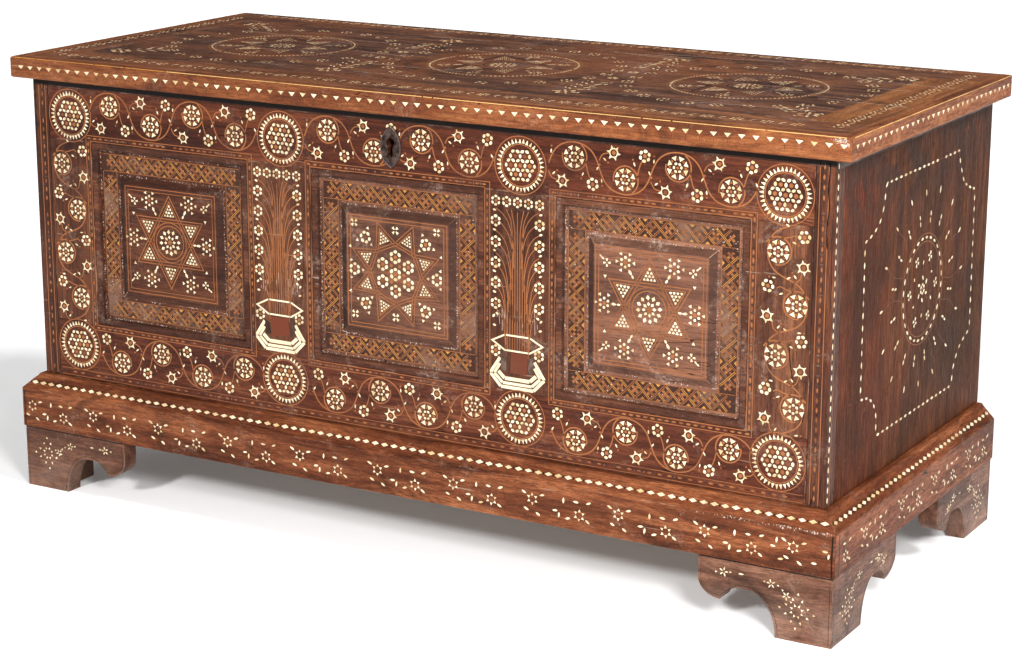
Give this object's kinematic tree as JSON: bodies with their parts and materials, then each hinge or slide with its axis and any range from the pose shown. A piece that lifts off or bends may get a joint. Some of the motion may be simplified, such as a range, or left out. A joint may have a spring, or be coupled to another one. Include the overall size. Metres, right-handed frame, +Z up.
{
  "type": "inlaid wedding chest",
  "caption": "Wooden chest with a hinged lid, raised front panels and bracket feet, inlaid all over with bone and light wood; for storing linen.",
  "frame": {"origin": "on the floor, under the middle of the whole footprint (plinth front to hinge knuckles)", "axes": "+Z up, +X along the chest's length to the viewer's right, the front faces -Y"},
  "size_m": [1.334, 0.6022, 0.66],
  "materials": {
    "dark_walnut": "old waxed walnut, dark, worn at the arrises",
    "red_walnut": "old waxed walnut, reddish, satin",
    "worn_walnut": "walnut worn grey-brown and dry",
    "lid_edge_walnut": "orange-brown walnut, rubbed",
    "inside_softwood": "raw aged softwood, matt",
    "wrought_iron": "dark wrought iron, brown-black, rubbed bright at the edges",
    "bone_inlay": null,
    "fruitwood_inlay": "thin orange fruitwood stringing and marquetry"
  },
  "bodies": {
    "case": {"foot_front_left_front_bracket": "red_walnut", "foot_front_left_side_bracket": "red_walnut", "foot_front_left_glue_block": "inside_softwood", "foot_front_right_front_bracket": "red_walnut", "foot_front_right_side_bracket": "red_walnut", "foot_front_right_glue_block": "inside_softwood", "foot_back_right_rear_bracket": "red_walnut", "foot_back_right_side_bracket": "red_walnut", "foot_back_right_glue_block": "inside_softwood", "foot_back_left_rear_bracket": "red_walnut", "foot_back_left_side_bracket": "red_walnut", "foot_back_left_glue_block": "inside_softwood", "plinth_front": "red_walnut", "plinth_left": "red_walnut", "plinth_right": "red_walnut", "plinth_back": "inside_softwood", "floor_bearer_left": "inside_softwood", "floor_bearer_right": "inside_softwood", "floor_board_1": "inside_softwood", "floor_board_2": "inside_softwood", "floor_board_3": "inside_softwood", "side_left": "dark_walnut", "side_right": "dark_walnut", "back_board_lower": "inside_softwood", "back_board_upper": "inside_softwood", "corner_post_left": "red_walnut", "corner_post_right": "red_walnut", "rail_top": "red_walnut", "rail_bottom": "red_walnut", "stile_left": "worn_walnut", "stile_right": "worn_walnut", "muntin_left": "dark_walnut", "muntin_right": "dark_walnut", "panel_left": "dark_walnut", "panel_centre": "dark_walnut", "panel_right": "dark_walnut", "moulding_left": "worn_walnut", "moulding_centre": "worn_walnut", "moulding_right": "worn_walnut", "escutcheon": "wrought_iron", "lock_case": "wrought_iron", "hinge_left_case_leaf": "wrought_iron", "hinge_right_case_leaf": "wrought_iron", "hinge_left_pin": "wrought_iron", "hinge_right_pin": "wrought_iron"},
    "lid": {"lid_field": "worn_walnut", "lid_rail_front": "worn_walnut", "lid_rail_back": "worn_walnut", "lid_end_left": "worn_walnut", "lid_end_right": "worn_walnut", "lid_nosing_front": "lid_edge_walnut", "lid_nosing_left": "lid_edge_walnut", "lid_nosing_right": "lid_edge_walnut", "lid_batten_left": "inside_softwood", "lid_batten_right": "inside_softwood", "lock_staple": "wrought_iron", "hinge_left_lid_leaf": "wrought_iron", "hinge_right_lid_leaf": "wrought_iron"},
    "bolt": {"lock_bolt": "wrought_iron"}
  },
  "joints": [
    {"name": "lid_hinge", "type": "hinge", "parent": "case", "child": "lid", "pos_m": [0, 0.29565, 0.629], "axis": [-1, 0, 0], "range_deg": [0, 100]},
    {"name": "bolt_slide", "type": "slide", "parent": "case", "child": "bolt", "axis": [-1, 0, 0], "range_m": [0, 0.02]}
  ]
}
